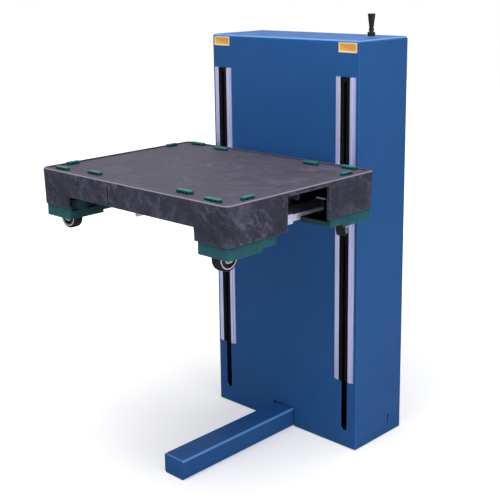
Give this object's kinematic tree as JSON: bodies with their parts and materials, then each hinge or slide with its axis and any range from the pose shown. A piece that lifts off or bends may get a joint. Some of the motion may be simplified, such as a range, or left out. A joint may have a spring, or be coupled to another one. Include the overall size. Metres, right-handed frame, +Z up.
{
  "type": "column lift table",
  "caption": "Floor-standing screw-driven column lift whose forks run in sealed front slots and carry a wheeled dolly as the table top, with a floor leg and a tilt lever.",
  "frame": {"origin": "on the floor, under the centre of the column's base plate", "axes": "+Z up along the column, -Y towards the forks and the floor leg, +X to the right seen from the forks' side"},
  "size_m": [0.8056, 0.9138, 1.3865],
  "materials": {
    "blue_paint": "semi-gloss paint",
    "base_paint": "dark primer",
    "strip_aluminium": "satin anodised",
    "seal_black": "matt",
    "marker_yellow": "satin film",
    "zinc_steel": "bright zinc plate",
    "bare_steel": "mill finish",
    "bearing_iron": "as cast",
    "nut_bronze": "machined",
    "pulley_aluminium": "machined",
    "belt_rubber": "matt",
    "motor_paint": "matt paint",
    "roller_nylon": "turned",
    "box_grey": "textured paint",
    "black_plastic": "satin",
    "bezel_grey": "satin",
    "deck_plastic": "marbled regrind",
    "pad_green": "matt",
    "boot_green": "satin",
    "caster_zinc": "zinc plate",
    "tyre_black": "matt",
    "hub_grey": "satin"
  },
  "bodies": {
    "column": {"base_plate": "base_paint", "leg_tube": "blue_paint", "leg_end_cap": "blue_paint", "front_panel": "blue_paint", "side_panel_left": "blue_paint", "side_panel_right": "blue_paint", "rear_panel": "blue_paint", "top_cover": "blue_paint", "cover_screws": "zinc_steel", "marker_plates": "marker_yellow", "seal_holders": "strip_aluminium", "slot_seals": "seal_black", "mast_channel_left": "bare_steel", "mast_channel_right": "bare_steel", "mast_top_tie": "bare_steel", "drive_bracket": "bare_steel", "screw_bearings": "bearing_iron", "motor": "motor_paint", "drive_belt": "belt_rubber", "control_box": "box_grey", "control_box_lid": "box_grey", "limit_switches": "black_plastic", "cable_gland": "black_plastic", "lever_bezel": "bezel_grey", "lever_socket": "black_plastic"},
    "carriage": {"carriage_plate": "bare_steel", "carriage_side_left": "bare_steel", "carriage_side_right": "bare_steel", "roller_axles": "bare_steel", "lift_nut": "nut_bronze", "carriage_bolts": "zinc_steel", "fork_left": "zinc_steel", "fork_right": "zinc_steel"},
    "screw": {"lift_screw": "bare_steel", "screw_pulley": "pulley_aluminium"},
    "motor_shaft": {"motor_pulley": "pulley_aluminium"},
    "lever": {"control_lever": "black_plastic"},
    "dolly": {"dolly_deck": "deck_plastic", "dolly_grip_pads": "pad_green", "caster_heads": "caster_zinc", "caster_boot_front_left": "boot_green", "caster_boot_front_right": "boot_green", "caster_boot_rear_left": "boot_green", "caster_boot_rear_right": "boot_green"},
    "roller_left_lower": {"guide_roller_left_lower": "roller_nylon"},
    "roller_left_upper": {"guide_roller_left_upper": "roller_nylon"},
    "roller_right_lower": {"guide_roller_right_lower": "roller_nylon"},
    "roller_right_upper": {"guide_roller_right_upper": "roller_nylon"},
    "caster_front_left": {"caster_fork_front_left": "caster_zinc"},
    "wheel_front_left": {"caster_tyre_front_left": "tyre_black", "caster_hub_front_left": "hub_grey"},
    "caster_front_right": {"caster_fork_front_right": "caster_zinc"},
    "wheel_front_right": {"caster_tyre_front_right": "tyre_black", "caster_hub_front_right": "hub_grey"},
    "caster_rear_left": {"caster_fork_rear_left": "caster_zinc"},
    "wheel_rear_left": {"caster_tyre_rear_left": "tyre_black", "caster_hub_rear_left": "hub_grey"},
    "caster_rear_right": {"caster_fork_rear_right": "caster_zinc"},
    "wheel_rear_right": {"caster_tyre_rear_right": "tyre_black", "caster_hub_rear_right": "hub_grey"}
  },
  "joints": [
    {"name": "carriage_lift", "type": "slide", "parent": "column", "child": "carriage", "axis": [0, 0, 1], "range_m": [-0.751, 0.25]},
    {"name": "screw_turn", "type": "hinge", "parent": "column", "child": "screw", "pos_m": [0, 0, 0.6], "axis": [0, 0, 1], "range_deg": [-10820, 3605]},
    {"name": "motor_turn", "type": "hinge", "parent": "column", "child": "motor_shaft", "pos_m": [-0.155, 0, 0.04], "axis": [0, 0, 1], "range_deg": [-21634, 7205]},
    {"name": "lever_tilt", "type": "hinge", "parent": "column", "child": "lever", "pos_m": [0.242, 0.025, 1.325], "axis": [1, 0, 0], "range_deg": [-15, 15], "stiffness_Nm_per_rad": 0.6},
    {"name": "dolly_lift_off", "type": "slide", "parent": "carriage", "child": "dolly", "axis": [0, 0, 1], "range_m": [0, 0.15]},
    {"name": "roller_left_lower_turn", "type": "hinge", "parent": "carriage", "child": "roller_left_lower", "pos_m": [-0.284, 0, 0.825], "axis": [1, 0, 0], "range_deg": [-483, 1440]},
    {"name": "roller_left_upper_turn", "type": "hinge", "parent": "carriage", "child": "roller_left_upper", "pos_m": [-0.284, 0, 0.95], "axis": [1, 0, 0], "range_deg": [-1440, 483]},
    {"name": "roller_right_lower_turn", "type": "hinge", "parent": "carriage", "child": "roller_right_lower", "pos_m": [0.284, 0, 0.825], "axis": [1, 0, 0], "range_deg": [-483, 1440]},
    {"name": "roller_right_upper_turn", "type": "hinge", "parent": "carriage", "child": "roller_right_upper", "pos_m": [0.284, 0, 0.95], "axis": [1, 0, 0], "range_deg": [-1440, 483]},
    {"name": "caster_swivel_front_left", "type": "hinge", "parent": "dolly", "child": "caster_front_left", "pos_m": [-0.336, -0.707, 0.83], "axis": [0, 0, 1], "continuous": true},
    {"name": "wheel_roll_front_left", "type": "hinge", "parent": "caster_front_left", "child": "wheel_front_left", "pos_m": [-0.348, -0.707, 0.7905], "axis": [0, -1, 0], "continuous": true},
    {"name": "caster_swivel_front_right", "type": "hinge", "parent": "dolly", "child": "caster_front_right", "pos_m": [0.336, -0.707, 0.83], "axis": [0, 0, 1], "continuous": true},
    {"name": "wheel_roll_front_right", "type": "hinge", "parent": "caster_front_right", "child": "wheel_front_right", "pos_m": [0.336, -0.719, 0.7905], "axis": [1, 0, 0], "continuous": true},
    {"name": "caster_swivel_rear_left", "type": "hinge", "parent": "dolly", "child": "caster_rear_left", "pos_m": [-0.336, -0.227, 0.83], "axis": [0, 0, 1], "continuous": true},
    {"name": "wheel_roll_rear_left", "type": "hinge", "parent": "caster_rear_left", "child": "wheel_rear_left", "pos_m": [-0.3401, -0.21572, 0.7905], "axis": [-0.9397, -0.342, 0], "continuous": true},
    {"name": "caster_swivel_rear_right", "type": "hinge", "parent": "dolly", "child": "caster_rear_right", "pos_m": [0.336, -0.227, 0.83], "axis": [0, 0, 1], "continuous": true},
    {"name": "wheel_roll_rear_right", "type": "hinge", "parent": "caster_rear_right", "child": "wheel_rear_right", "pos_m": [0.342, -0.23739, 0.7905], "axis": [0.866, 0.5, 0], "continuous": true}
  ],
  "couplings": [
    {"joint": "screw_turn", "follows": "carriage_lift", "rad_per_m": 251.33},
    {"joint": "motor_turn", "follows": "carriage_lift", "rad_per_m": 502.65},
    {"joint": "roller_left_lower_turn", "follows": "carriage_lift", "rad_per_m": -33.333},
    {"joint": "roller_left_upper_turn", "follows": "carriage_lift", "rad_per_m": 33.333},
    {"joint": "roller_right_lower_turn", "follows": "carriage_lift", "rad_per_m": -33.333},
    {"joint": "roller_right_upper_turn", "follows": "carriage_lift", "rad_per_m": 33.333}
  ]
}
